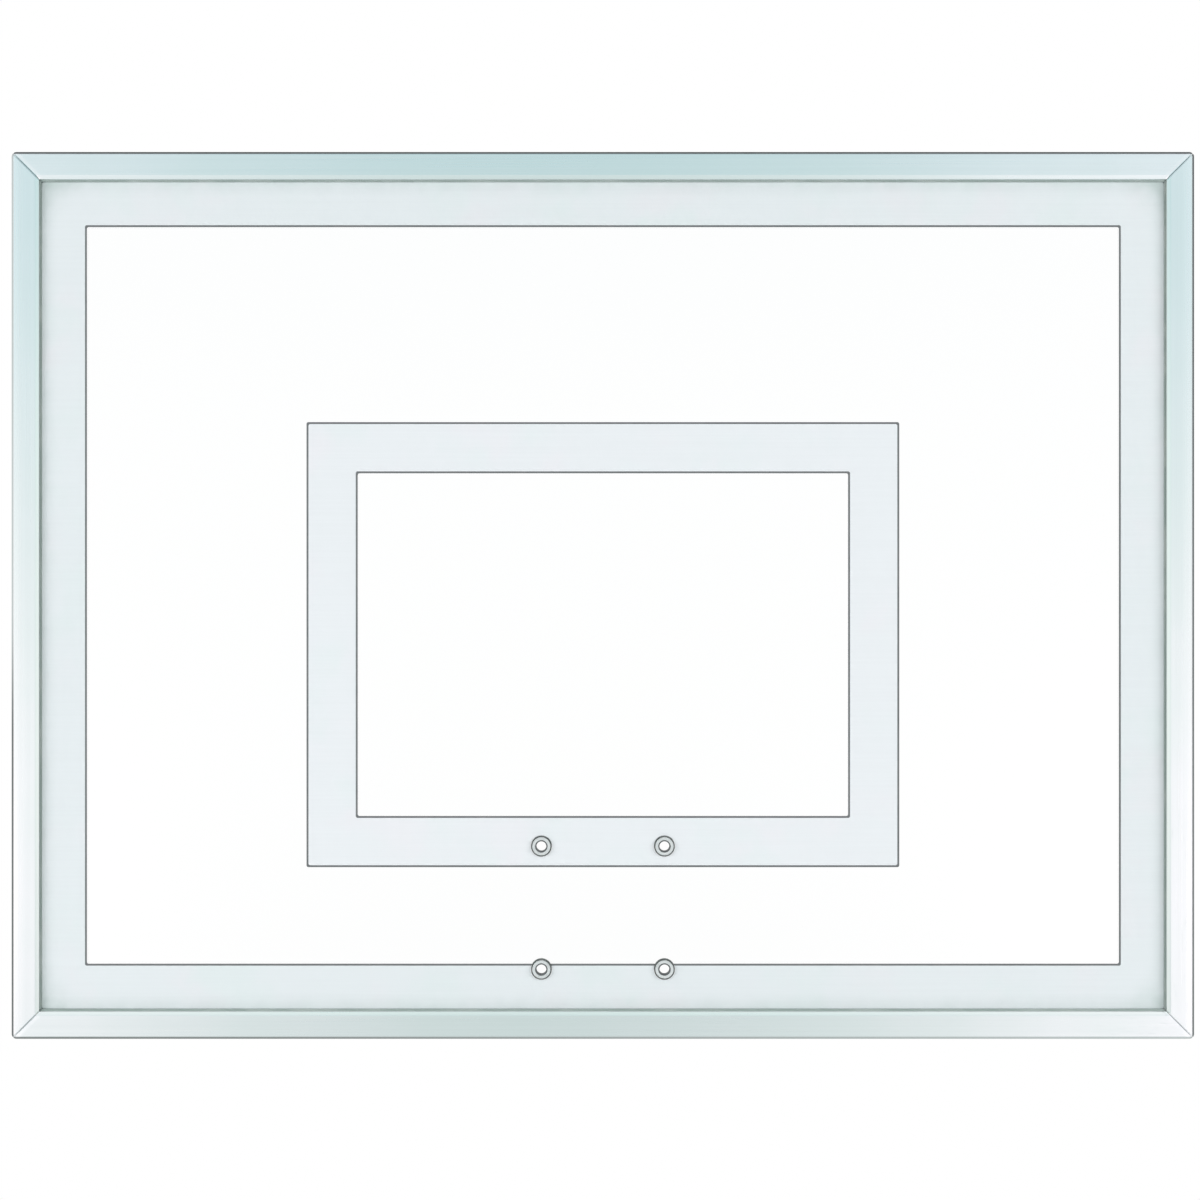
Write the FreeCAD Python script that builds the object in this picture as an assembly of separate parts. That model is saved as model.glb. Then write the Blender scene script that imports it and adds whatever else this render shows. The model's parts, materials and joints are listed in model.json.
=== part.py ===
import FreeCAD, Part
import math
import os

# Framed glass basketball backboard, in millimetres.
# A tempered pane with a printed border and target sits in rubber channels inside a mitred aluminium frame.
# Bushed holes low on the pane take the goal, and slotted plates behind the frame corners take the support.
# The playing face looks along -Y, +X is to the right of someone facing it and +Z is up.
# The origin is the middle of the four support slots, on the rear face of the corner brackets.

# Board
board_width = 1219.2
board_height = 914.4
board_corner_radius = 5.0

# Frame extrusion: glazing groove in front, hollow beside it, closed chamber behind
frame_face = 28.6
lip_thickness = 4.0
outer_wall = 3.0
side_chamber_width = 6.0
groove_rib = 2.4
groove_web = 3.0
rear_chamber_depth = 20.0
rear_wall = 3.0
front_edge_radius = 3.0
lip_bevel_width = 4.5
lip_bevel_depth = 1.2
lip_nose_radius = 1.0
frame_small_radius = 0.8
mitre_gap = 0.5
mitre_vee = 1.2

# Glass pane
glass_thickness = 12.7
glass_corner_radius = 6.0
glass_arris = 1.0

# Rubber glazing channel
gasket_leg = 2.5
gasket_base = 3.0
gasket_show = 2.0
gasket_bead_radius = 1.1
gasket_heel_radius = 1.0

# Printed bands and the thin outlines along their edges
print_thickness = 0.2
print_gap = 0.3
outline_width = 2.0
print_corner_radius = 2.0
border_inset = 76.2
target_width = 609.6
target_height = 457.2
target_line = 50.8
target_rise = 177.8

# Goal holes and their bushings
goal_spacing_x = 127.0
goal_spacing_z = 127.0
goal_row_rise = 71.4
goal_bore = 10.3
sleeve_wall = 1.2
bushing_wall = 1.2
bushing_fit = 0.1
bushing_glass_gap = 0.3
bushing_half_gap = 0.6
flange_overlap = 1.4
flange_thickness = 2.2
flange_chamfer = 0.6
seal_show = 1.4
seal_thickness = 1.0

# Corner brackets and the slots for the support
bracket_thickness = 4.8
bracket_setback = 3.0
bracket_corner_radius = 4.0
slot_length = 25.4
slot_width = 11.1
slot_frame_gap = 9.5
slot_edge_distance = 11.0

# Corner keys and bracket bolts
key_fit = 0.25
key_end_distance = 12.0
key_lead = 2.0
bolt_end_distance = 24.0
bolt_diameter = 7.9
bolt_hole_gap = 0.8
bolt_thread_gap = 0.2
bolt_grip = 14.0
bolt_head_across_flats = 12.7
bolt_head_height = 5.3
bolt_head_crown = 0.95
bolt_head_chamfer_angle = 30.0
washer_diameter = 17.5
washer_thickness = 1.6

# Depths, measured back from the front face of the frame
groove_front = lip_thickness
groove_back = groove_front + gasket_leg + glass_thickness + gasket_leg
rear_chamber_front = groove_back + groove_web
rear_chamber_back = rear_chamber_front + rear_chamber_depth
frame_depth = rear_chamber_back + rear_wall

# Places along Y
frame_back_y = -bracket_thickness
frame_front_y = frame_back_y - frame_depth
glass_front_y = frame_front_y + groove_front + gasket_leg
glass_middle_y = glass_front_y + glass_thickness / 2

# Distances inward from the outer edge of the board
side_chamber_inner = outer_wall + side_chamber_width
groove_floor = side_chamber_inner + groove_rib
glass_inset = groove_floor + gasket_base
gasket_edge = frame_face + gasket_show
bolt_line = frame_face / 2
slot_inset = frame_face + slot_frame_gap + slot_length / 2

# Bracket leg: the sloping edge passes the far corner of the slot at its edge distance
slot_far_sum = 2 * slot_inset + slot_length / 2 + slot_width / 2
bracket_leg = slot_far_sum + slot_edge_distance * math.sqrt(2) - frame_face
bolt_along = bracket_leg - bolt_end_distance
key_leg = bolt_along + key_end_distance

# Radii of the goal hole's rings, from the bore outwards
bore_radius = goal_bore / 2
sleeve_radius = bore_radius + sleeve_wall
bushing_inner_radius = sleeve_radius + bushing_fit
bushing_outer_radius = bushing_inner_radius + bushing_wall
glass_hole_radius = bushing_outer_radius + bushing_glass_gap
flange_radius = glass_hole_radius + flange_overlap
seal_radius = flange_radius + seal_show
bushing_half_length = glass_thickness / 2 + seal_thickness + flange_thickness

# Bolts: holes through bracket and frame wall, thread in the key
bolt_hole_diameter = bolt_diameter + bolt_hole_gap
bolt_length = washer_thickness + bracket_thickness + rear_wall + key_fit + bolt_grip

# A length that is safely past any section, for cutting tools
overrun = frame_depth + gasket_edge

depth_axis = FreeCAD.Vector(0, 1, 0)
origin = FreeCAD.Vector(0, 0, 0)
touching = 1e-6
full_turn = 360
hexagon_sides = 6

corners = {
    "top_left": (-1, 1),
    "top_right": (1, 1),
    "bottom_left": (-1, -1),
    "bottom_right": (1, -1),
}

# Each side of the frame is drawn as the top side and turned about Y, a quarter turn further for each
frame_sides = ("top", "right", "bottom", "left")
upright_sides = ("left", "right")

goal_low_z = goal_row_rise - board_height / 2
goal_columns = (-goal_spacing_x / 2, goal_spacing_x / 2)
goal_rows = (goal_low_z, goal_low_z + goal_spacing_z)
goal_holes = [(x, z) for x in goal_columns for z in goal_rows]


def rounded_wire(outline, place):
    # Closed wire through corners (u, v, radius), each rounded by a tangent arc and put in space by place
    stops = []
    for index, (u, v, radius) in enumerate(outline):
        corner = FreeCAD.Vector(u, v)
        before = FreeCAD.Vector(*outline[index - 1][:2])
        after = FreeCAD.Vector(*outline[(index + 1) % len(outline)][:2])
        to_before = (before - corner).normalize()
        to_after = (after - corner).normalize()
        half_angle = to_before.getAngle(to_after) / 2
        tangent = radius / math.tan(half_angle)
        rise = radius / math.sin(half_angle) - radius
        middle = corner + (to_before + to_after).normalize() * rise
        stops.append((corner + to_before * tangent, middle, corner + to_after * tangent))
    edges = []
    for index, (arc_start, middle, arc_end) in enumerate(stops):
        side_start = stops[index - 1][2]
        if side_start.distanceToPoint(arc_start) > touching:
            edges.append(Part.makeLine(place(side_start), place(arc_start)))
        if arc_start.distanceToPoint(arc_end) > touching:
            edges.append(Part.Arc(place(arc_start), place(middle), place(arc_end)).toShape())
    return Part.Wire(edges)


def prism(outlines, place, travel):
    # Solid made by pushing a flat outline, with any holes after it in the list, along travel
    wires = [rounded_wire(outline, place) for outline in outlines]
    return Part.makeFace(wires, "Part::FaceMakerBullseye").extrude(travel)


def along_y(start, end):
    return FreeCAD.Vector(0, end - start, 0)


def board_plane(y):
    # Outline (x, z) drawn on the plane at that depth
    return lambda point: FreeCAD.Vector(point.x, y, point.y)


def corner_plane(corner, y):
    # Outline measured inward from the two outer edges that meet at a board corner
    side_x, side_z = corners[corner]
    return lambda point: FreeCAD.Vector(
        side_x * (board_width / 2 - point.x), y, side_z * (board_height / 2 - point.y)
    )


def rectangle(width, height, centre_z, radius):
    left = -width / 2
    low = centre_z - height / 2
    return [
        (left, low, radius),
        (left + width, low, radius),
        (left + width, low + height, radius),
        (left, low + height, radius),
    ]


def drills(points, radius, start_y, end_y):
    # Round cutters along Y at each (x, z)
    length = end_y - start_y
    tools = [Part.makeCylinder(radius, length, FreeCAD.Vector(x, start_y, z), depth_axis) for x, z in points]
    return Part.makeCompound(tools)


def turned(profile, place):
    # Ring turned about Y from a profile of (radius, distance along the axis, corner radius)
    return Part.Face(rounded_wire(profile, place)).revolve(origin, depth_axis, full_turn)


def copies(shape, points, y):
    return Part.makeCompound([shape.translated(FreeCAD.Vector(x, y, z)) for x, z in points])


def bolt_points(names):
    # One bolt in each leg of a corner, on the middle line of the frame member
    points = []
    for name in names:
        side_x, side_z = corners[name]
        points.append((side_x * (board_width / 2 - bolt_along), side_z * (board_height / 2 - bolt_line)))
        points.append((side_x * (board_width / 2 - bolt_line), side_z * (board_height / 2 - bolt_along)))
    return points


def frame_section():
    # Outer outline, side hollow and rear chamber as (inward, back, corner radius)
    body = [
        (0, 0, 0),
        (frame_face - lip_bevel_width, 0, 0),
        (frame_face, lip_bevel_depth, lip_nose_radius),
        (frame_face, groove_front, frame_small_radius),
        (groove_floor, groove_front, 0),
        (groove_floor, groove_back, 0),
        (frame_face, groove_back, frame_small_radius),
        (frame_face, frame_depth, frame_small_radius),
        (0, frame_depth, frame_small_radius),
    ]
    side_chamber = [
        (outer_wall, groove_front, 0),
        (side_chamber_inner, groove_front, 0),
        (side_chamber_inner, groove_back, 0),
        (outer_wall, groove_back, 0),
    ]
    rear_chamber = [
        (outer_wall, rear_chamber_front, 0),
        (frame_face - outer_wall, rear_chamber_front, 0),
        (frame_face - outer_wall, rear_chamber_back, 0),
        (outer_wall, rear_chamber_back, 0),
    ]
    return [body, side_chamber, rear_chamber]


def gasket_section():
    # U channel that wraps the glass edge, its two lips showing past the frame
    leg_back = groove_front + gasket_leg
    leg_front = leg_back + glass_thickness
    return [[
        (groove_floor, groove_front, gasket_heel_radius),
        (gasket_edge, groove_front, gasket_bead_radius),
        (gasket_edge, leg_back, 0),
        (glass_inset, leg_back, 0),
        (glass_inset, leg_front, 0),
        (gasket_edge, leg_front, 0),
        (gasket_edge, groove_back, gasket_bead_radius),
        (groove_floor, groove_back, gasket_heel_radius),
    ]]


def mitred_length(section, side):
    # Section run along one side of the board, both ends cut at 45 degrees with half the mitre gap
    half_length, half_across = board_width / 2, board_height / 2
    if side in upright_sides:
        half_length, half_across = half_across, half_length
    start = -half_length - overrun
    bar = prism(
        section,
        lambda point: FreeCAD.Vector(start, frame_front_y + point.y, half_across - point.x),
        FreeCAD.Vector(-2 * start, 0, 0),
    )
    high = half_across + overrun
    low = half_across - overrun
    half_high = half_length + overrun - mitre_gap / math.sqrt(2)
    half_low = half_high - (high - low)
    keep = [(-half_high, high, 0), (half_high, high, 0), (half_low, low, 0), (-half_low, low, 0)]
    block_front = frame_front_y - overrun
    block = prism([keep], board_plane(block_front), along_y(block_front, overrun))
    turn = frame_sides.index(side) * full_turn / len(frame_sides)
    return bar.common(block).rotate(origin, depth_axis, turn)


def mitre_wedge(name):
    # Laid along the mitre of one corner, its point sunk into the front face
    side_x, side_z = corners[name]
    corner = FreeCAD.Vector(side_x * board_width / 2, frame_front_y, side_z * board_height / 2)
    inward = FreeCAD.Vector(-side_x, 0, -side_z).normalize()
    across = FreeCAD.Vector(side_x, 0, -side_z).normalize()
    half_width = mitre_vee + overrun
    wedge = [(0, mitre_vee, 0), (half_width, -overrun, 0), (-half_width, -overrun, 0)]
    return prism([wedge], lambda point: corner + across * point.x + depth_axis * point.y, inward * overrun)


def frame_members():
    # The four lengths are trimmed to one block, whose rounded front edge runs on round the corners
    block_outline = rectangle(board_width, board_height, 0, board_corner_radius)
    block = prism([block_outline], board_plane(frame_front_y), along_y(frame_front_y, overrun))
    front_edges = [edge for edge in block.Edges if edge.BoundBox.YMax < frame_front_y + touching]
    block = block.makeFillet(front_edge_radius, front_edges)
    chamber_middle_y = frame_front_y + (rear_chamber_front + rear_chamber_back) / 2
    bolt_holes = drills(bolt_points(corners), bolt_hole_diameter / 2, chamber_middle_y, overrun)
    wedges = Part.makeCompound([mitre_wedge(name) for name in corners])
    members = {}
    for side in frame_sides:
        kind = "stile" if side in upright_sides else "rail"
        length = mitred_length(frame_section(), side)
        members[f"frame_{kind}_{side}"] = length.common(block).cut(bolt_holes).cut(wedges)
    return members


def glazing_gaskets():
    return {f"glazing_gasket_{side}": mitred_length(gasket_section(), side) for side in frame_sides}


def glass_panel():
    width = board_width - 2 * glass_inset
    height = board_height - 2 * glass_inset
    outline = rectangle(width, height, 0, glass_corner_radius)
    pane = prism([outline], board_plane(glass_front_y), FreeCAD.Vector(0, glass_thickness, 0))
    rim = [edge for edge in pane.Edges if edge.BoundBox.YLength < touching]
    pane = pane.makeChamfer(glass_arris, rim)
    holes = drills(goal_holes, glass_hole_radius, glass_front_y - overrun, overrun)
    return pane.cut(holes)


def printed_ring(outer, inner):
    # Layer of ink between two rectangles (width, height, centre z), kept clear of the bushing seals
    outlines = [rectangle(*outer, print_corner_radius), rectangle(*inner, print_corner_radius)]
    ring = prism(outlines, board_plane(glass_front_y), FreeCAD.Vector(0, -print_thickness, 0))
    clear = drills(goal_holes, seal_radius + print_gap, glass_front_y - overrun, overrun)
    return ring.cut(clear)


def inset_board(inset):
    return board_width - 2 * inset, board_height - 2 * inset, 0


def target_rectangle(inset):
    centre_z = target_rise + target_height / 2 - board_height / 2
    return target_width - 2 * inset, target_height - 2 * inset, centre_z


def printed_lines():
    # Outlines are centred on the nominal edges of the bands
    half = outline_width / 2
    border_outer = inset_board(gasket_edge + print_gap)
    target_outlines = [
        printed_ring(target_rectangle(-half), target_rectangle(half)),
        printed_ring(target_rectangle(target_line - half), target_rectangle(target_line + half)),
    ]
    return {
        "border_band": printed_ring(border_outer, inset_board(border_inset - half)),
        "border_outline": printed_ring(inset_board(border_inset - half), inset_board(border_inset + half)),
        "target_band": printed_ring(target_rectangle(half), target_rectangle(target_line - half)),
        "target_outlines": Part.makeCompound(target_outlines),
    }


def bushing_half(direction):
    # Flanged half bush, drawn outwards from the middle of the glass
    seat = glass_thickness / 2 + seal_thickness
    return turned(
        [
            (bushing_inner_radius, bushing_half_gap / 2, 0),
            (bushing_outer_radius, bushing_half_gap / 2, 0),
            (bushing_outer_radius, seat, 0),
            (flange_radius, seat, 0),
            (flange_radius, bushing_half_length - flange_chamfer, 0),
            (flange_radius - flange_chamfer, bushing_half_length, 0),
            (bushing_inner_radius, bushing_half_length, 0),
        ],
        lambda point: FreeCAD.Vector(point.x, direction * point.y, 0),
    )


def flange_seal(direction):
    seal_inner_radius = bushing_outer_radius + bushing_fit
    return turned(
        [
            (seal_inner_radius, glass_thickness / 2, 0),
            (seal_radius, glass_thickness / 2, 0),
            (seal_radius, glass_thickness / 2 + seal_thickness, 0),
            (seal_inner_radius, glass_thickness / 2 + seal_thickness, 0),
        ],
        lambda point: FreeCAD.Vector(point.x, direction * point.y, 0),
    )


def goal_sleeve():
    # Tube flush with both flanges, so that the goal bolts squeeze it and not the glass
    return turned(
        [
            (bore_radius, -bushing_half_length, 0),
            (sleeve_radius, -bushing_half_length, 0),
            (sleeve_radius, bushing_half_length, 0),
            (bore_radius, bushing_half_length, 0),
        ],
        lambda point: FreeCAD.Vector(point.x, point.y, 0),
    )


def goal_hole_rings():
    rings = {
        "goal_sleeves": goal_sleeve(),
        "goal_bushings_front": bushing_half(-1),
        "goal_bushings_rear": bushing_half(1),
        "goal_seals_front": flange_seal(-1),
        "goal_seals_rear": flange_seal(1),
    }
    return {node: copies(ring, goal_holes, glass_middle_y) for node, ring in rings.items()}


def corner_key(name):
    # L bar that fills the rear chamber of both sides, tapped for the bracket bolts
    outer = outer_wall + key_fit
    inner = frame_face - outer_wall - key_fit
    one_leg = [
        (outer + key_lead, outer, 0),
        (key_leg - key_lead, outer, 0),
        (key_leg, outer + key_lead, 0),
        (key_leg, inner - key_lead, 0),
        (key_leg - key_lead, inner, 0),
    ]
    other_leg = [(v, u, radius) for u, v, radius in reversed(one_leg)]
    outline = one_leg + [(inner, inner, 0)] + other_leg
    front_y = frame_front_y + rear_chamber_front + key_fit
    back_y = frame_front_y + rear_chamber_back - key_fit
    bar = prism([outline], corner_plane(name, front_y), along_y(front_y, back_y))
    thread_radius = (bolt_diameter + bolt_thread_gap) / 2
    return bar.cut(drills(bolt_points([name]), thread_radius, front_y - overrun, overrun))


def corner_bracket(name):
    # Gusset plate across the corner, with a bolt in each leg and the support slot in its web
    outline = [
        (bracket_setback, bracket_setback, bracket_corner_radius),
        (bracket_leg, bracket_setback, bracket_corner_radius),
        (bracket_leg, frame_face, bracket_corner_radius),
        (frame_face, bracket_leg, bracket_corner_radius),
        (bracket_setback, bracket_leg, bracket_corner_radius),
    ]
    half_length = slot_length / 2
    half_width = slot_width / 2
    slot = [
        (slot_inset - half_length, slot_inset - half_width, half_width),
        (slot_inset + half_length, slot_inset - half_width, half_width),
        (slot_inset + half_length, slot_inset + half_width, half_width),
        (slot_inset - half_length, slot_inset + half_width, half_width),
    ]
    plate = prism([outline, slot], corner_plane(name, frame_back_y), along_y(frame_back_y, 0))
    return plate.cut(drills(bolt_points([name]), bolt_hole_diameter / 2, frame_back_y - overrun, overrun))


def hex_bolt():
    # Bearing face of the head at the origin, shank towards -Y
    shank = Part.makeCylinder(bolt_diameter / 2, bolt_length, origin, -depth_axis)
    step = 2 * math.pi / hexagon_sides
    hex_radius = bolt_head_across_flats / 2 / math.cos(step / 2)
    hexagon = [
        (hex_radius * math.cos(step * corner), hex_radius * math.sin(step * corner), 0)
        for corner in range(hexagon_sides)
    ]
    head = prism([hexagon], board_plane(0), along_y(0, bolt_head_height))
    crown_radius = bolt_head_crown * bolt_head_across_flats / 2
    outside = bolt_head_across_flats
    drop = (outside - crown_radius) * math.tan(math.radians(bolt_head_chamfer_angle))
    crown = turned(
        [
            (0, -bolt_head_height, 0),
            (outside, -bolt_head_height, 0),
            (outside, bolt_head_height - drop, 0),
            (crown_radius, bolt_head_height, 0),
            (0, bolt_head_height, 0),
        ],
        lambda point: FreeCAD.Vector(point.x, point.y, 0),
    )
    return head.common(crown).fuse(shank)


def washer():
    # Front face at the origin
    return turned(
        [
            (bolt_hole_diameter / 2, 0, 0),
            (washer_diameter / 2, 0, 0),
            (washer_diameter / 2, washer_thickness, 0),
            (bolt_hole_diameter / 2, washer_thickness, 0),
        ],
        lambda point: FreeCAD.Vector(point.x, point.y, 0),
    )


def backboard():
    points = bolt_points(corners)
    nodes = {"glass_panel": glass_panel()}
    nodes.update(frame_members())
    nodes.update(glazing_gaskets())
    nodes.update(printed_lines())
    nodes.update(goal_hole_rings())
    nodes.update({f"corner_key_{name}": corner_key(name) for name in corners})
    nodes.update({f"corner_bracket_{name}": corner_bracket(name) for name in corners})
    nodes["bracket_washers"] = copies(washer(), points, 0)
    nodes["bracket_bolts"] = copies(hex_bolt(), points, washer_thickness)
    return nodes


os.makedirs("parts", exist_ok=True)
for node, shape in backboard().items():
    Part.makeCompound(shape.Solids).exportStep(os.path.join("parts", f"{node}.step"))
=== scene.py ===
import bpy
import json
import math
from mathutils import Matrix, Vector


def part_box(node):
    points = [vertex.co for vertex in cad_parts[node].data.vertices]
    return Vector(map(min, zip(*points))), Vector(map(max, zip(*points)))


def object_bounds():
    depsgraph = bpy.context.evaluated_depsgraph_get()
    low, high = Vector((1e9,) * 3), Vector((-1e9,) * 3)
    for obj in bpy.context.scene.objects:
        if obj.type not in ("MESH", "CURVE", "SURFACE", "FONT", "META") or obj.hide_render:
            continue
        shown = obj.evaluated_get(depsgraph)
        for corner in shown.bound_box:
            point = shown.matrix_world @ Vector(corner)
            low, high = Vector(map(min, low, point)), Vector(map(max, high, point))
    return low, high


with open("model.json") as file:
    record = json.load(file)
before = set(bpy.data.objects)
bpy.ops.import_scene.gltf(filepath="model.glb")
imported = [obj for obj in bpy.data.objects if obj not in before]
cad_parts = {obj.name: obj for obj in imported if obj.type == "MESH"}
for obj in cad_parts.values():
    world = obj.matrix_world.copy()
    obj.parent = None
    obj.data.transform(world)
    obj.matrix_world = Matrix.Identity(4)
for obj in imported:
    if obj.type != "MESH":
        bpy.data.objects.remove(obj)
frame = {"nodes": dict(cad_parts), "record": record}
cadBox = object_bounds()
parts = frame["nodes"]
mounts = {mount["name"]: mount for mount in frame["record"]["mounts"]}
print("frame loaded with", len(parts), "parts")

boardLow, boardHigh = cadBox
halfWidth = boardHigh.x
halfHeight = boardHigh.z
frontFace = boardLow.y
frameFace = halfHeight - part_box("frame_rail_top")[0].z   # width of a frame length, seen from the front
millimetre = 0.001
white = (1.0, 1.0, 1.0)


# small helpers for building node trees

noiseSpan = (0.3, 0.7)      # most of a noise's values lie in here
edgeTurn = (0.99, 0.80)     # cosines of the turn at an edge where wear begins and is full


def plug(tree, socket, value):
    if isinstance(value, bpy.types.NodeSocket):
        tree.links.new(value, socket)
    else:
        socket.default_value = value


def feed(tree, node, inputs):
    for socket, value in inputs.items():
        plug(tree, node.inputs[socket], value)


def add(tree, kind, inputs, **settings):
    made = tree.nodes.new("ShaderNode" + kind)
    for setting, value in settings.items():
        setattr(made, setting, value)
    feed(tree, made, inputs)
    return made


def opaque(colour):
    return (*colour, 1.0)


def calc(tree, operation, first, second=0.0):
    return add(tree, "Math", {0: first, 1: second}, operation=operation).outputs[0]


def fade(tree, value, start, end, atStart=0.0, atEnd=1.0):
    inputs = {"Value": value, "From Min": start, "From Max": end, "To Min": atStart, "To Max": atEnd}
    return add(tree, "MapRange", inputs, interpolation_type="SMOOTHSTEP").outputs["Result"]


def swing(tree, noise, low, high):
    # from low to high over most of a noise
    return fade(tree, noise, *noiseSpan, low, high)


def roughened(tree, noise, values):
    return swing(tree, noise, values["roughness"], values["roughness"] + values["roughnessSwing"])


def mixColour(tree, amount, first, second, how="MIX"):
    # sockets 0, 6 and 7 are the colour ones of the Mix node
    mixed = add(tree, "Mix", {0: amount}, data_type="RGBA", blend_type=how)
    for socket, colour in ((6, first), (7, second)):
        linked = isinstance(colour, bpy.types.NodeSocket)
        plug(tree, mixed.inputs[socket], colour if linked else opaque(colour))
    return mixed.outputs[2]


def ramp(tree, value, stops):
    # colours at chosen places along a value that runs from 0 to 1
    made = add(tree, "ValToRGB", {"Fac": value})
    elements = made.color_ramp.elements
    for extra in stops[2:]:
        elements.new(1.0)
    for element, (place, colour) in zip(elements, stops):
        element.position = place
        element.color = opaque(colour)
    return made.outputs["Color"]


def spot(tree):
    return add(tree, "TexCoord", {}).outputs["Object"]


def axes(tree, vector):
    return add(tree, "SeparateXYZ", {"Vector": vector}).outputs


def grain(tree, size, detail=3.0, shift=0.0):
    # noise whose grains measure size (x, y, z) in metres
    scale = [1.0 / length for length in size]
    placed = add(tree, "Mapping", {"Vector": spot(tree), "Location": (shift, shift, shift), "Scale": scale})
    noise = add(tree, "TexNoise", {"Vector": placed.outputs[0], "Scale": 1.0, "Detail": detail})
    return noise.outputs["Fac"]


def evenGrain(tree, size, detail=3.0, shift=0.0):
    return grain(tree, (size, size, size), detail, shift)


def drawnOut(along, length, width):
    # size of a grain that is longer along one axis
    size = [width] * 3
    size["XYZ".index(along)] = length
    return size


def bump(tree, height, depth, strength, under=None):
    inputs = {"Height": height, "Distance": depth, "Strength": strength}
    if under is not None:
        inputs["Normal"] = under
    return add(tree, "Bump", inputs).outputs["Normal"]


def softEdge(tree, radius):
    return add(tree, "Bevel", {"Radius": radius}, samples=6).outputs["Normal"]


def edgeMask(tree, reach):
    # 1 along edges, 0 on open faces
    flat = add(tree, "NewGeometry", {}).outputs["Normal"]
    turned = add(tree, "VectorMath", {0: softEdge(tree, reach), 1: flat}, operation="DOT_PRODUCT")
    return fade(tree, turned.outputs["Value"], *edgeTurn)


def insideOf(tree, edge, place):
    # distance inward from a pair of edges that lie at plus and minus edge
    return calc(tree, "SUBTRACT", edge, calc(tree, "ABSOLUTE", place))


def waves(tree, place, pitch):
    return calc(tree, "SINE", calc(tree, "MULTIPLY", place, 2 * math.pi / pitch))


def holeRadius(tree):
    # distance from the nearest goal hole's axis, by folding the pattern into one quarter
    goal = mounts["goal_bolts"]
    middle = Vector(goal["pos_m"])
    x, y, z = axes(tree, spot(tree))
    across = calc(tree, "ABSOLUTE", calc(tree, "SUBTRACT", x, middle.x))
    upward = calc(tree, "ABSOLUTE", calc(tree, "SUBTRACT", z, middle.z))
    across = calc(tree, "SUBTRACT", across, goal["dims"]["spacing_x_mm"] * millimetre / 2)
    upward = calc(tree, "SUBTRACT", upward, goal["dims"]["spacing_y_mm"] * millimetre / 2)
    squares = calc(tree, "ADD", calc(tree, "POWER", across, 2.0), calc(tree, "POWER", upward, 2.0))
    return calc(tree, "SQRT", squares)


def seenByEye(tree):
    # 1 for what the camera sees, straight or through the glass
    path = add(tree, "LightPath", {}).outputs
    return calc(tree, "MAXIMUM", path["Is Camera Ray"], path["Is Transmission Ray"])


def newFinish(name):
    material = bpy.data.materials.new(name)
    material.use_nodes = True
    return material, material.node_tree, material.node_tree.nodes["Principled BSDF"]


# satin anodised extrusion, with die lines along the member

anodised = {
    "colour": (0.865, 0.905, 0.915),
    "cloudColour": (0.840, 0.897, 0.898),    # faintly greener patches of the bath
    "cloudSize": 0.11,
    "cloudSpan": (0.35, 0.7),
    "lineLength": 0.35,
    "lineWidth": 0.0011,
    "broadLine": 4,                          # a broad line measures this many fine ones
    "lineShade": 0.03,
    "lineSpread": 0.7,                       # gloss spreads wider across the die lines than along them
    "roughness": 0.25,
    "lineRoughness": 0.06,
    "lineSpan": (0.25, 0.75),
    "cloudRoughness": 0.04,
    "lineDepth": 0.00006,
    "lineBump": 0.5,
    "scuffSize": (0.018, 0.0009),
    "scuffSpan": (0.66, 0.74),
    "scuffPatch": 0.14,                      # scuffs come in patches of this size
    "scuffPatchSpan": (0.5, 0.7),
    "scuffRoughness": 0.10,
    "sheenStrip": 0.016,                    # strip along the upright sides with a painted highlight, and a little smoother
    "sheenColour": (0.912, 0.942, 0.947),
    "sheenPolish": 0.05,
    "edgeRadius": 0.0003,
    "veeReach": 0.0014,                      # sawn and polished bottom of the mitre grooves
    "veeRoughness": 0.06,
    "filedWidth": 0.003,                     # rail ends are filed down a little towards the mitre
    "filedDepth": 0.0003,
    "lipWidth": 0.0050,                      # sloping lip beside the glass, with painted reflection tones
    "stileLipSheen": (0.900, 0.950, 0.930),
    "topLipShade": (0.815, 0.882, 0.888),
    "bottomLipSheen": (0.965, 0.985, 0.965),
    "edgeShadeColour": (0.20, 0.21, 0.213),       # painted dark reflection on the rounded front edge
    "edgeShadeWidth": 0.0030,
    "edgeShadeDepth": 0.0026,                     # how far the line goes down the outer side
    "edgeShadeBlur": 0.00078,
    "edgeShadeOnTop": 0.86,
    "edgeShadeOnRight": (0.74, 0.56),             # at the top and at the bottom
    "edgeShadeOnBottom": 0.78,
    "edgeShadeOnLeft": 0.90,
    "leftFade": (-0.01, -0.15),              # heights where the line on the left begins and is full
    "bottomFade": (0.75, -0.60),             # the same along the bottom, from right to left
}


def paintedEdgeShade(tree, along, fromEdge, x, y, z):
    # painted dark reflection on the rounded front edge, along the whole top and right, fading out along the
    # left and bottom
    values = anodised
    edge = fade(tree, fromEdge, values["edgeShadeWidth"], values["edgeShadeWidth"] / 2)
    behind = calc(tree, "SUBTRACT", y, frontFace)
    front = fade(tree, behind, values["edgeShadeDepth"] + values["edgeShadeBlur"], values["edgeShadeDepth"])
    if along == "Z":
        faded = fade(tree, z, *values["leftFade"], 0.0, values["edgeShadeOnLeft"])
        whole = fade(tree, z, halfHeight, -halfHeight, *values["edgeShadeOnRight"])
        onWhole = calc(tree, "GREATER_THAN", x, 0.0)
    else:
        faded = fade(tree, x, *values["bottomFade"], 0.0, values["edgeShadeOnBottom"])
        whole = values["edgeShadeOnTop"]
        onWhole = calc(tree, "GREATER_THAN", z, 0.0)
    amount = add(tree, "Mix", {0: onWhole, 2: faded, 3: whole}).outputs[0]
    return calc(tree, "MULTIPLY", calc(tree, "MULTIPLY", edge, front), amount)


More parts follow.
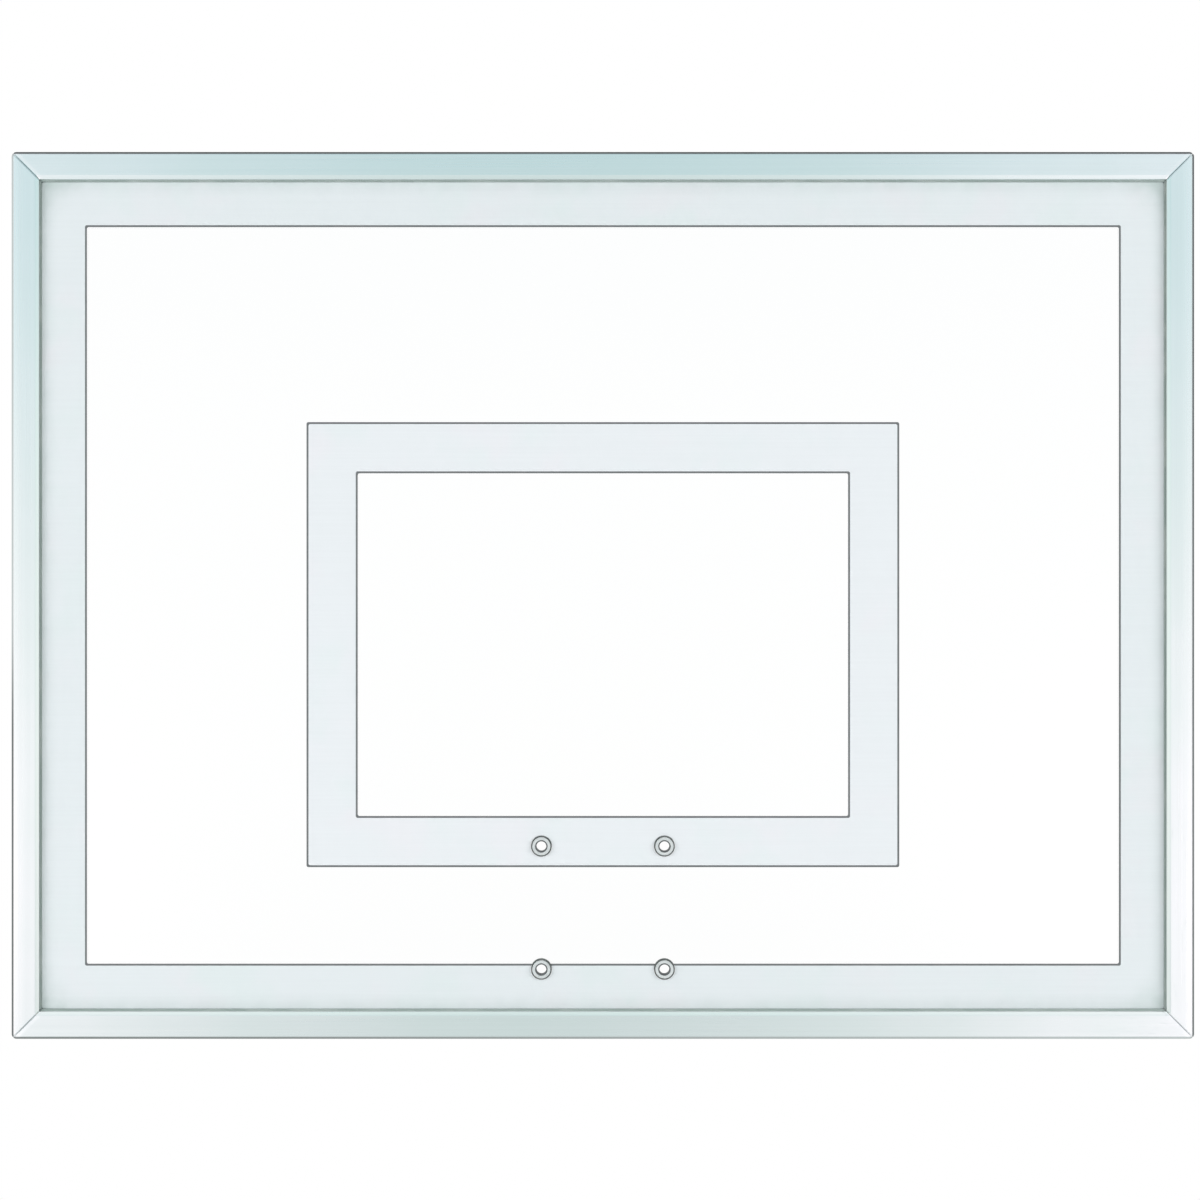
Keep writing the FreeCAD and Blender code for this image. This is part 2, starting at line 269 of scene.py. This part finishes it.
def paintedLipSheen(tree, along, colour, fromEdge, y, z):
    # painted reflection on the lip's front, darker on the top rail and lighter on the bottom rail and the
    # uprights, and the given colour elsewhere
    values = anodised
    lip = fade(tree, fromEdge, frameFace - values["lipWidth"], frameFace - values["lipWidth"] / 2)
    lip = calc(tree, "MULTIPLY", lip, calc(tree, "LESS_THAN", y, frontFace + values["lipWidth"]))
    lipSheen = values["stileLipSheen"]
    if along == "X":
        lipSheen = mixColour(tree, calc(tree, "LESS_THAN", z, 0.0), values["topLipShade"], values["bottomLipSheen"])
    return mixColour(tree, lip, colour, lipSheen)


def filedEnd(tree, fromMitre, under):
    values = anodised
    slope = {"Value": fromMitre, "From Min": values["veeReach"]}
    slope["From Max"] = values["veeReach"] + values["filedWidth"]
    return bump(tree, add(tree, "MapRange", slope).outputs["Result"], values["filedDepth"], 1.0, under)


def anodisedFinish(name, along):
    values = anodised
    material, tree, shader = newFinish(name)
    x, y, z = axes(tree, spot(tree))
    fromSide = insideOf(tree, halfWidth, x)
    fromRail = insideOf(tree, halfHeight, z)
    fromEdge = calc(tree, "MINIMUM", fromSide, fromRail)
    fromMitre = calc(tree, "DIVIDE", calc(tree, "SUBTRACT", fromSide, fromRail), math.sqrt(2))
    lineSize = drawnOut(along, values["lineLength"], values["lineWidth"])
    lines = grain(tree, lineSize, detail=2.0)
    broadLines = grain(tree, [length * values["broadLine"] for length in lineSize], detail=1.0, shift=7.0)
    shade = calc(tree, "ADD", calc(tree, "MULTIPLY", lines, 0.5), calc(tree, "MULTIPLY", broadLines, 0.5))
    shade = swing(tree, shade, 1.0 - values["lineShade"], 1.0)
    clouds = evenGrain(tree, values["cloudSize"], detail=2.0, shift=3.0)
    scuffs = grain(tree, drawnOut(along, *values["scuffSize"]), detail=1.0, shift=11.0)
    patches = evenGrain(tree, values["scuffPatch"], detail=1.0, shift=19.0)
    patches = fade(tree, patches, *values["scuffPatchSpan"])
    scuffs = calc(tree, "MULTIPLY", fade(tree, scuffs, *values["scuffSpan"]), patches)
    sheenAndPolish = fade(tree, fromSide, values["sheenStrip"], 0.0)

    cloudy = fade(tree, clouds, *values["cloudSpan"])
    colour = mixColour(tree, cloudy, values["colour"], values["cloudColour"])
    # painted highlight along the left and right sides
    colour = mixColour(tree, sheenAndPolish, colour, values["sheenColour"])
    colour = mixColour(tree, 1.0, colour, shade, "MULTIPLY")
    # painted reflection tones on the lip beside the glass
    colour = paintedLipSheen(tree, along, colour, fromEdge, y, z)
    # painted dark reflection along the rounded front edge
    colour = mixColour(tree, paintedEdgeShade(tree, along, fromEdge, x, y, z), colour, values["edgeShadeColour"])

    lined = values["roughness"] + values["lineRoughness"]
    rough = fade(tree, lines, *values["lineSpan"], values["roughness"], lined)
    rough = calc(tree, "ADD", rough, calc(tree, "MULTIPLY", clouds, values["cloudRoughness"]))
    rough = calc(tree, "ADD", rough, calc(tree, "MULTIPLY", scuffs, values["scuffRoughness"]))
    rough = calc(tree, "SUBTRACT", rough, calc(tree, "MULTIPLY", sheenAndPolish, values["sheenPolish"]))
    ground = calc(tree, "LESS_THAN", calc(tree, "ABSOLUTE", fromMitre), values["veeReach"])
    rough = calc(tree, "MINIMUM", rough, fade(tree, ground, 0.0, 1.0, 1.0, values["veeRoughness"]))

    normal = softEdge(tree, values["edgeRadius"])
    if along == "X":
        normal = filedEnd(tree, fromMitre, normal)
    normal = bump(tree, shade, values["lineDepth"], values["lineBump"], normal)
    aroundBar = add(tree, "Tangent", {}, direction_type="RADIAL", axis=along).outputs["Tangent"]
    feed(tree, shader, {"Base Color": colour, "Roughness": rough, "Normal": normal, "Tangent": aroundBar,
                        "Anisotropic": values["lineSpread"], "Metallic": 1.0})
    return material


# grey rubber glazing channel, dusty in patches

rubber = {
    "colour": (0.285, 0.350, 0.328),
    "dustColour": (0.39, 0.44, 0.42),
    "dustSize": 0.03,
    "dustSpan": (0.55, 0.85),
    "grainSize": 0.0006,
    "grainShare": 0.25,         # how much of the dust follows the grain
    "grainDepth": 0.00008,
    "grainBump": 0.6,
    "roughness": 0.62,
    "roughnessSwing": 0.16,
    "shine": 0.35,
}
# paler copy for the level lengths, as painted light
litLevelRubber = dict(rubber, colour=(0.352, 0.430, 0.408), dustColour=(0.445, 0.510, 0.490))
# rings under the bushing flanges
sealRubber = dict(rubber, colour=(0.110, 0.122, 0.120), dustColour=(0.19, 0.20, 0.197), dustSize=0.006,
                  grainSize=0.0004, grainDepth=0.00005, roughness=0.55, roughnessSwing=0.15)


def rubberFinish(name, values):
    material, tree, shader = newFinish(name)
    dust = evenGrain(tree, values["dustSize"], detail=5.0)
    specks = evenGrain(tree, values["grainSize"], detail=2.0, shift=5.0)
    dusty = calc(tree, "ADD", dust, calc(tree, "MULTIPLY", specks, values["grainShare"]))
    dusty = fade(tree, dusty, *values["dustSpan"])
    colour = mixColour(tree, dusty, values["colour"], values["dustColour"])
    normal = bump(tree, specks, values["grainDepth"], values["grainBump"])
    rough = roughened(tree, dust, values)
    feed(tree, shader, {"Base Color": colour, "Roughness": rough, "Normal": normal,
                        "Specular IOR Level": values["shine"]})
    return material


# fired ceramic ink, laid through a fine screen with a squeegee

whiteInk = {
    "colour": (0.776, 0.828, 0.850),
    "warmColour": (0.792, 0.820, 0.848),
    "coolColour": (0.756, 0.828, 0.838),
    "cloudSize": 0.07,
    "cloudSpan": (0.5, 0.72),
    "streakSize": (0.22, 0.0022),
    "streakShade": 0.014,
    "meshPitch": 0.0005,
    "meshDepth": 0.000012,
    "meshBump": 0.4,
    "roughness": 0.36,
    "roughnessSwing": 0.10,
}
targetInk = dict(whiteInk, colour=(0.826, 0.862, 0.890), warmColour=(0.842, 0.856, 0.890),
                 coolColour=(0.806, 0.862, 0.880))
greyInk = dict(whiteInk, colour=(0.160, 0.172, 0.178), warmColour=(0.178, 0.184, 0.188),
               coolColour=(0.142, 0.154, 0.160), cloudSize=0.03, streakSize=(0.05, 0.0015),
               streakShade=0.08, roughness=0.40)
cornerShade = {
    "colour": (0.18, 0.32, 0.26),
    "reach": 0.018,             # painted shade beside the rubber lip
    "strength": 0.10,
    "cornerReach": 0.064,
    "cornerStrength": 0.17,
    "patchSize": 0.02,
    "patchSwing": (0.7, 1.3),
}


def paintedCornerShade(tree, band):
    # painted shade, most in the corners of the band, less along its outer edges, none further in
    values = cornerShade
    corner = [max(point[axis] for point in band.bound_box) for axis in range(3)]
    x, y, z = axes(tree, spot(tree))
    fromSide = insideOf(tree, corner[0], x)
    fromRail = insideOf(tree, corner[2], z)
    fromCorner = calc(tree, "ADD", fromSide, fromRail)
    amount = fade(tree, fromCorner, values["cornerReach"], 0.0, 0.0, values["cornerStrength"])
    for distance in (fromSide, fromRail):
        along = fade(tree, distance, values["reach"], 0.0, 0.0, values["strength"])
        amount = calc(tree, "ADD", amount, along)
    patches = evenGrain(tree, values["patchSize"], detail=4.0, shift=17.0)
    return calc(tree, "MULTIPLY", amount, swing(tree, patches, *values["patchSwing"]))


def inkFinish(name, values, band=None):
    material, tree, shader = newFinish(name)
    warm = evenGrain(tree, values["cloudSize"], detail=4.0)
    cool = evenGrain(tree, values["cloudSize"], detail=4.0, shift=13.0)
    streaks = grain(tree, drawnOut("X", *values["streakSize"]), detail=3.0, shift=2.0)
    shade = swing(tree, streaks, 1.0 - values["streakShade"], 1.0)
    colour = mixColour(tree, fade(tree, warm, *values["cloudSpan"]), values["colour"], values["warmColour"])
    colour = mixColour(tree, fade(tree, cool, *values["cloudSpan"]), colour, values["coolColour"])
    colour = mixColour(tree, 1.0, colour, shade, "MULTIPLY")
    if band is not None:
        # painted shade near the frame, deepest in the band's corners
        colour = mixColour(tree, paintedCornerShade(tree, band), colour, cornerShade["colour"])
    # threads of the screen leave a faint grid
    x, y, z = axes(tree, spot(tree))
    threads = [waves(tree, along, values["meshPitch"]) for along in (x, z)]
    normal = bump(tree, calc(tree, "MULTIPLY", *threads), values["meshDepth"], values["meshBump"])
    rough = roughened(tree, streaks, values)
    feed(tree, shader, {"Base Color": colour, "Roughness": rough, "Normal": normal})
    return material


# moulded bushings, with turning marks of the mould round the flange

nylon = {
    "colour": (0.66, 0.70, 0.705),
    "stainColour": (0.56, 0.60, 0.60),
    "stainSize": 0.005,
    "stainSpan": (0.45, 0.75),
    "markPitch": 0.0007,
    "markDepth": 0.00002,
    "markBump": 0.4,
    "roughness": 0.40,
    "roughnessSwing": 0.15,
    "softness": 0.08,
    "glowDepth": 0.0015,
    "glowReach": (1.0, 0.9, 0.8),   # red goes deepest
    "edgeRadius": 0.0003,
}


def nylonFinish(name):
    values = nylon
    material, tree, shader = newFinish(name)
    stains = evenGrain(tree, values["stainSize"], detail=4.0)
    stained = fade(tree, stains, *values["stainSpan"])
    colour = mixColour(tree, stained, values["colour"], values["stainColour"])
    marks = waves(tree, holeRadius(tree), values["markPitch"])
    edge = softEdge(tree, values["edgeRadius"])
    normal = bump(tree, marks, values["markDepth"], values["markBump"], edge)
    rough = roughened(tree, stains, values)
    feed(tree, shader, {"Base Color": colour, "Roughness": rough, "Normal": normal,
                        "Subsurface Weight": values["softness"], "Subsurface Radius": values["glowReach"],
                        "Subsurface Scale": values["glowDepth"]})
    return material


# blackened steel tubes, turned to length

blackSteel = {
    "colour": (0.165, 0.173, 0.178),
    "rubbedColour": (0.34, 0.35, 0.355),
    "rubbedSize": 0.0025,
    "rubbedSpan": (0.45, 0.6),
    "markPitch": 0.00028,
    "markDepth": 0.00002,
    "markBump": 0.5,
    "roughness": 0.42,
    "roughnessSwing": 0.16,
    "edgeReach": 0.0004,
}


def blackSteelFinish(name):
    values = blackSteel
    material, tree, shader = newFinish(name)
    rubbed = evenGrain(tree, values["rubbedSize"], detail=4.0)
    bare = fade(tree, rubbed, *values["rubbedSpan"])
    bare = calc(tree, "MULTIPLY", edgeMask(tree, values["edgeReach"]), bare)
    colour = mixColour(tree, bare, values["colour"], values["rubbedColour"])
    marks = waves(tree, holeRadius(tree), values["markPitch"])
    normal = bump(tree, marks, values["markDepth"], values["markBump"])
    rough = roughened(tree, rubbed, values)
    feed(tree, shader, {"Base Color": colour, "Roughness": rough, "Normal": normal, "Metallic": 1.0})
    return material


# powder coat on the corner plates, chipped at the edges

powderCoat = {
    "colour": (0.50, 0.545, 0.565),
    "fadedColour": (0.56, 0.595, 0.605),
    "fadeSize": 0.05,
    "fadeSpan": (0.4, 0.7),
    "chipColour": (0.17, 0.175, 0.18),
    "chipSize": 0.0035,
    "chipSpan": (0.58, 0.62),
    "chipRoughness": 0.62,
    "peelSize": 0.0022,
    "peelDepth": 0.00012,
    "peelBump": 0.5,
    "peelRoughness": 0.10,
    "roughness": 0.36,
    "edgeReach": 0.0012,
    "edgeRadius": 0.0007,
}


def powderFinish(name):
    values = powderCoat
    material, tree, shader = newFinish(name)
    peel = evenGrain(tree, values["peelSize"], detail=1.5)
    faded = fade(tree, evenGrain(tree, values["fadeSize"], detail=4.0, shift=4.0), *values["fadeSpan"])
    flakes = fade(tree, evenGrain(tree, values["chipSize"], detail=5.0, shift=9.0), *values["chipSpan"])
    chips = calc(tree, "MULTIPLY", edgeMask(tree, values["edgeReach"]), flakes)
    colour = mixColour(tree, faded, values["colour"], values["fadedColour"])
    colour = mixColour(tree, chips, colour, values["chipColour"])
    rough = calc(tree, "ADD", values["roughness"], calc(tree, "MULTIPLY", peel, values["peelRoughness"]))
    rougher = values["chipRoughness"] - values["roughness"]
    rough = calc(tree, "ADD", rough, calc(tree, "MULTIPLY", chips, rougher))
    edge = softEdge(tree, values["edgeRadius"])
    normal = bump(tree, peel, values["peelDepth"], values["peelBump"], edge)
    feed(tree, shader, {"Base Color": colour, "Roughness": rough, "Normal": normal})
    return material


# bright zinc plate on bolts and washers

zinc = {
    "colour": (0.58, 0.61, 0.64),
    "goldColour": (0.62, 0.61, 0.54),
    "spangleSize": 0.004,
    "spangleSpan": (0.4, 0.7),
    "dullColour": (0.40, 0.43, 0.46),
    "dullSize": 0.0016,
    "dullSpan": (0.48, 0.68),
    "roughness": 0.26,
    "dullRoughness": 0.48,
    "pitDepth": 0.00005,
    "pitBump": 0.3,
    "edgeRadius": 0.0004,
}


def zincFinish(name):
    values = zinc
    material, tree, shader = newFinish(name)
    spangle = fade(tree, evenGrain(tree, values["spangleSize"], detail=3.0), *values["spangleSpan"])
    dull = fade(tree, evenGrain(tree, values["dullSize"], detail=4.0, shift=6.0), *values["dullSpan"])
    colour = mixColour(tree, spangle, values["colour"], values["goldColour"])
    colour = mixColour(tree, dull, colour, values["dullColour"])
    rough = fade(tree, dull, 0.0, 1.0, values["roughness"], values["dullRoughness"])
    edge = softEdge(tree, values["edgeRadius"])
    normal = bump(tree, dull, values["pitDepth"], values["pitBump"], edge)
    feed(tree, shader, {"Base Color": colour, "Roughness": rough, "Normal": normal, "Metallic": 1.0})
    return material


# corner keys, left as they came from the mould

castMetal = {
    "colour": (0.52, 0.54, 0.55),
    "oxideColour": (0.40, 0.42, 0.43),
    "oxideSize": 0.012,
    "oxideSpan": (0.42, 0.68),
    "sandSize": 0.0009,
    "sandDepth": 0.00015,
    "sandBump": 0.6,
    "sandRoughness": 0.2,
    "roughness": 0.55,
}


def castFinish(name):
    values = castMetal
    material, tree, shader = newFinish(name)
    sand = evenGrain(tree, values["sandSize"], detail=4.0)
    oxide = fade(tree, evenGrain(tree, values["oxideSize"], detail=4.0, shift=8.0), *values["oxideSpan"])
    colour = mixColour(tree, oxide, values["colour"], values["oxideColour"])
    rough = calc(tree, "ADD", values["roughness"], calc(tree, "MULTIPLY", sand, values["sandRoughness"]))
    normal = bump(tree, sand, values["sandDepth"], values["sandBump"])
    feed(tree, shader, {"Base Color": colour, "Roughness": rough, "Normal": normal, "Metallic": 1.0})
    return material


# clear tempered pane: lamps pass straight through, eyes see the gloss

glass = {
    "colour": white,
    "bodyColour": (0.80, 0.95, 0.90),
    "bodyDensity": 0.55,
    "shadowColour": (0.94, 0.975, 0.96),
    "ior": 1.52,
    "smearSize": (0.16, 0.16, 0.05),
    "smearSpan": (0.52, 0.75),
    "roughness": 0.0,
    "smearRoughness": 0.03,
}


def glassFinish(name):
    values = glass
    material, tree, shader = newFinish(name)
    smears = fade(tree, grain(tree, values["smearSize"], detail=5.0), *values["smearSpan"])
    rough = fade(tree, smears, 0.0, 1.0, values["roughness"], values["smearRoughness"])
    feed(tree, shader, {"Base Color": opaque(values["colour"]), "Transmission Weight": 1.0,
                        "IOR": values["ior"], "Roughness": rough})
    path = add(tree, "LightPath", {}).outputs
    passed = calc(tree, "MAXIMUM", path["Is Shadow Ray"], path["Is Diffuse Ray"])
    clear = add(tree, "BsdfTransparent", {"Color": opaque(values["shadowColour"])})
    mixed = add(tree, "MixShader", {0: passed, 1: shader.outputs[0], 2: clear.outputs[0]})
    body = {"Color": opaque(values["bodyColour"]), "Density": values["bodyDensity"]}
    body = add(tree, "VolumeAbsorption", body)
    feed(tree, tree.nodes["Material Output"], {"Surface": mixed.outputs[0], "Volume": body.outputs[0]})
    return material


# every part gets the first finish below whose key begins its name

litLevelGasket = rubberFinish("gasket_rubber_lit_level", litLevelRubber)
greyLines = inkFinish("grey_ink", greyInk)
zincPlate = zincFinish("zinc_plate")
finishes = {
    "frame_rail": anodisedFinish("anodised_rail", "X"),
    "frame_stile": anodisedFinish("anodised_stile", "Z"),
    # painted light: the level lengths get the paler rubber
    "glazing_gasket_top": litLevelGasket,
    "glazing_gasket_bottom": litLevelGasket,
    "glazing_gasket": rubberFinish("gasket_rubber_grey", rubber),
    "goal_seals": rubberFinish("seal_rubber_black", sealRubber),
    "border_band": inkFinish("white_ink", whiteInk, parts["border_band"]),
    "border_outline": greyLines,
    "target_band": inkFinish("target_ink", targetInk),
    "target_outlines": greyLines,
    "goal_bushings": nylonFinish("bushing_nylon_moulded"),
    "goal_sleeves": blackSteelFinish("sleeve_black_steel"),
    "corner_bracket": powderFinish("bracket_powder_coat"),
    "corner_key": castFinish("key_as_cast"),
    "bracket_washers": zincPlate,
    "bracket_bolts": zincPlate,
    "glass_panel": glassFinish("tempered_glass"),
}

for name, part in parts.items():
    finish = next(made for start, made in finishes.items() if name.startswith(start))
    for slot in part.material_slots:
        slot.material = finish
print("finishes given to", len(parts), "parts")


# studio pieces are one flat face each

def flatFace(name, corners, place, material):
    mesh = bpy.data.meshes.new(name)
    mesh.from_pydata(corners, [], [range(len(corners))])
    mesh.materials.append(material)
    face = bpy.data.objects.new(name, mesh)
    face.location = place
    bpy.context.scene.collection.objects.link(face)
    return face


# pale floor well below the board, so that the front view shows none of it

floorPlan = {
    "drop": 0.56,
    "radius": 3.0,
    "rimSides": 96,
    "colour": (0.90, 0.90, 0.90),
    "mottleSize": 0.4,
    "mottleShade": 0.015,
    "roughness": 0.9,
    "meltStart": 0.9,       # from here on the floor melts into the white room
    "meltEnd": 2.7,
}


def floorFinish(name):
    values = floorPlan
    material, tree, shader = newFinish(name)
    mottle = evenGrain(tree, values["mottleSize"], detail=4.0)
    mottle = swing(tree, mottle, 1.0 - values["mottleShade"], 1.0)
    colour = mixColour(tree, 1.0, values["colour"], mottle, "MULTIPLY")
    feed(tree, shader, {"Base Color": colour, "Roughness": values["roughness"], "Specular IOR Level": 0.0})
    outward = add(tree, "VectorMath", {0: spot(tree)}, operation="LENGTH").outputs["Value"]
    melt = fade(tree, outward, values["meltStart"], values["meltEnd"])
    melt = calc(tree, "MULTIPLY", seenByEye(tree), melt)
    glow = add(tree, "Emission", {"Color": opaque(white), "Strength": 1.0})
    surface = add(tree, "MixShader", {0: melt, 1: shader.outputs[0], 2: glow.outputs[0]})
    below = add(tree, "NewGeometry", {}).outputs["Backfacing"]     # looked up at, the floor isn't there
    clear = add(tree, "BsdfTransparent", {})
    surface = add(tree, "MixShader", {0: below, 1: surface.outputs[0], 2: clear.outputs[0]})
    feed(tree, tree.nodes["Material Output"], {"Surface": surface.outputs[0]})
    return material


def makeFloor():
    values = floorPlan
    turns = [2 * math.pi * step / values["rimSides"] for step in range(values["rimSides"])]
    rim = [(values["radius"] * math.cos(turn), values["radius"] * math.sin(turn), 0.0) for turn in turns]
    place = (0.0, 0.0, boardLow.z - values["drop"])
    floor = flatFace("studio_floor", rim, place, floorFinish("pale_floor"))
    floor.visible_glossy = False


makeFloor()


# a wide reflector stands in front: cool and dim in the middle, white low down and to the sides

reflector = {
    "distance": 1.6,
    "sideStep": -0.07,
    "size": (3.6, 3.0),
    # glow from the bottom of the card (0) to its top (1), in the middle and at the sides
    "middle": [(0.10, (0.66, 0.70, 0.69)), (0.30, (0.625, 0.705, 0.70)), (0.42, (0.86, 0.93, 0.90)),
               (0.58, (0.82, 0.93, 0.91)), (0.70, (0.495, 0.705, 0.738)), (0.95, (0.56, 0.77, 0.80))],
    "side": [(0.08, (0.74, 0.78, 0.78)), (0.26, (1.26, 1.21, 1.23)), (0.36, (1.40, 1.29, 1.33)),
             (0.50, (1.04, 1.04, 1.05)), (0.67, (0.76, 0.89, 0.92)), (0.90, (1.14, 1.12, 1.18))],
    "sideReach": 0.80,
    "sideSwell": 2.0,
    "hiddenFrom": ("camera", "diffuse", "transmission", "shadow", "volume_scatter"),
}


def reflectorFinish(name):
    values = reflector
    material, tree, shader = newFinish(name)
    x, y, z = axes(tree, spot(tree))
    sideways = calc(tree, "DIVIDE", calc(tree, "ABSOLUTE", x), values["sideReach"])
    sideways = calc(tree, "POWER", calc(tree, "MINIMUM", sideways, 1.0), values["sideSwell"])
    rise = calc(tree, "ADD", calc(tree, "DIVIDE", z, values["size"][1]), 0.5)
    colour = mixColour(tree, sideways, ramp(tree, rise, values["middle"]), ramp(tree, rise, values["side"]))
    glow = add(tree, "Emission", {"Color": colour, "Strength": 1.0})
    feed(tree, tree.nodes["Material Output"], {"Surface": glow.outputs[0]})
    tree.nodes.remove(shader)
    return material


def makeReflector():
    values = reflector
    right, up = (side / 2 for side in values["size"])
    corners = [(-right, 0.0, -up), (right, 0.0, -up), (right, 0.0, up), (-right, 0.0, up)]
    place = (values["sideStep"], frontFace - values["distance"], 0.0)
    card = flatFace("studio_reflector", corners, place, reflectorFinish("reflector_glow"))
    for ray in values["hiddenFrom"]:
        setattr(card, "visible_" + ray, False)


makeReflector()
print("floor and reflector in place")


# white room: white to the eye, pale fill on surfaces, darker to the sides of the board for metal

room = {
    "fill": 0.57,
    "fillColour": (0.985, 1.0, 1.0),
    "darkSide": (0.62, 0.0, 0.785),         # up and to the right
    "darkSpan": (-0.8, 0.8),                # lean towards it over which the room grows darker
    "darkGlow": (0.30, 0.32, 0.325),
    "paleGlow": (0.62, 0.65, 0.64),
    "openSpan": (0.70, 0.90),               # share along y where the bright ends begin and are full
    "turnSpan": (-0.3, 0.3),                # from the front end to the rear end
    "frontGlow": (0.90, 0.91, 0.91),
    "rearHigh": (0.60, 0.62, 0.63),
    "rearLow": (0.95, 0.95, 0.94),          # the pale floor, mirrored in the rear faces
    "rearSpan": (-0.35, 0.35),
}


def makeRoom():
    values = room
    world = bpy.data.worlds.new("white_room")
    bpy.context.scene.world = world
    world.use_nodes = True
    tree = world.node_tree
    tree.nodes.clear()
    facing = add(tree, "TexCoord", {}).outputs["Generated"]
    x, y, z = axes(tree, facing)
    lean = add(tree, "VectorMath", {0: facing, 1: values["darkSide"]}, operation="DOT_PRODUCT")
    lean = fade(tree, lean.outputs["Value"], *values["darkSpan"])
    sides = mixColour(tree, lean, values["paleGlow"], values["darkGlow"])
    rear = mixColour(tree, fade(tree, z, *values["rearSpan"]), values["rearLow"], values["rearHigh"])
    ends = mixColour(tree, fade(tree, y, *values["turnSpan"]), values["frontGlow"], rear)
    atEnds = fade(tree, calc(tree, "ABSOLUTE", y), *values["openSpan"])
    metalView = add(tree, "Background", {"Color": mixColour(tree, atEnds, sides, ends), "Strength": 1.0})
    fill = add(tree, "Background", {"Color": opaque(values["fillColour"]), "Strength": values["fill"]})
    plain = add(tree, "Background", {"Color": opaque(white), "Strength": 1.0})
    glossy = add(tree, "LightPath", {}).outputs["Is Glossy Ray"]
    lit = add(tree, "MixShader", {0: glossy, 1: fill.outputs[0], 2: metalView.outputs[0]})
    both = add(tree, "MixShader", {0: seenByEye(tree), 1: lit.outputs[0], 2: plain.outputs[0]})
    output = add(tree, "OutputWorld", {"Surface": both.outputs[0]})
    output.is_active_output = True


makeRoom()


# soft lamps that rake the board from both sides, and one behind

lamps = {
    "leftLamp": {"place": (-4.3, -2.5, 0.5), "size": (2.0, 2.2), "watts": 91.0},
    "rightLamp": {"place": (4.3, -2.5, 0.9), "size": (2.0, 2.2), "watts": 95.0},
    "rearLamp": {"place": (-1.6, 2.6, 2.2), "size": (1.2, 1.0), "watts": 72.0},
}


def makeLamp(name, values):
    light = bpy.data.lights.new(name, "AREA")
    light.shape = "RECTANGLE"
    light.size, light.size_y = values["size"]
    light.energy = values["watts"]
    lamp = bpy.data.objects.new(name, light)
    lamp.location = values["place"]
    aim = Vector((0.0, (boardLow.y + boardHigh.y) / 2, 0.0)) - lamp.location
    lamp.rotation_euler = aim.to_track_quat("-Z", "Y").to_euler()
    lamp.visible_camera = False
    lamp.visible_glossy = False
    bpy.context.scene.collection.objects.link(lamp)


for name, values in lamps.items():
    makeLamp(name, values)
print("studio lit by", len(lamps), "lamps")


# square-on camera, placed by the board's middle in the picture

shot = {
    "picture": 1200,                # pixels across
    "boardMiddle": (602.9, 595.4),  # pixel at the board's middle
    "metresPerPixel": 0.0010305,
    "distance": 5.0,
    "sensorWidth": 36.0,            # millimetres
}


def makeCamera():
    values = shot
    seenWidth = values["picture"] * values["metresPerPixel"]
    lens = bpy.data.cameras.new("front_camera")
    lens.sensor_width = values["sensorWidth"]
    lens.lens = values["sensorWidth"] * values["distance"] / seenWidth
    camera = bpy.data.objects.new("front_camera", lens)
    offsets = [pixel - values["picture"] / 2 for pixel in values["boardMiddle"]]
    right, down = (offset * values["metresPerPixel"] for offset in offsets)
    camera.location = (-right, frontFace - values["distance"], down)
    camera.rotation_euler = (math.pi / 2, 0.0, 0.0)
    bpy.context.scene.collection.objects.link(camera)
    bpy.context.scene.camera = camera


makeCamera()
bpy.context.scene.view_settings.view_transform = "Standard"

print("scene ready")
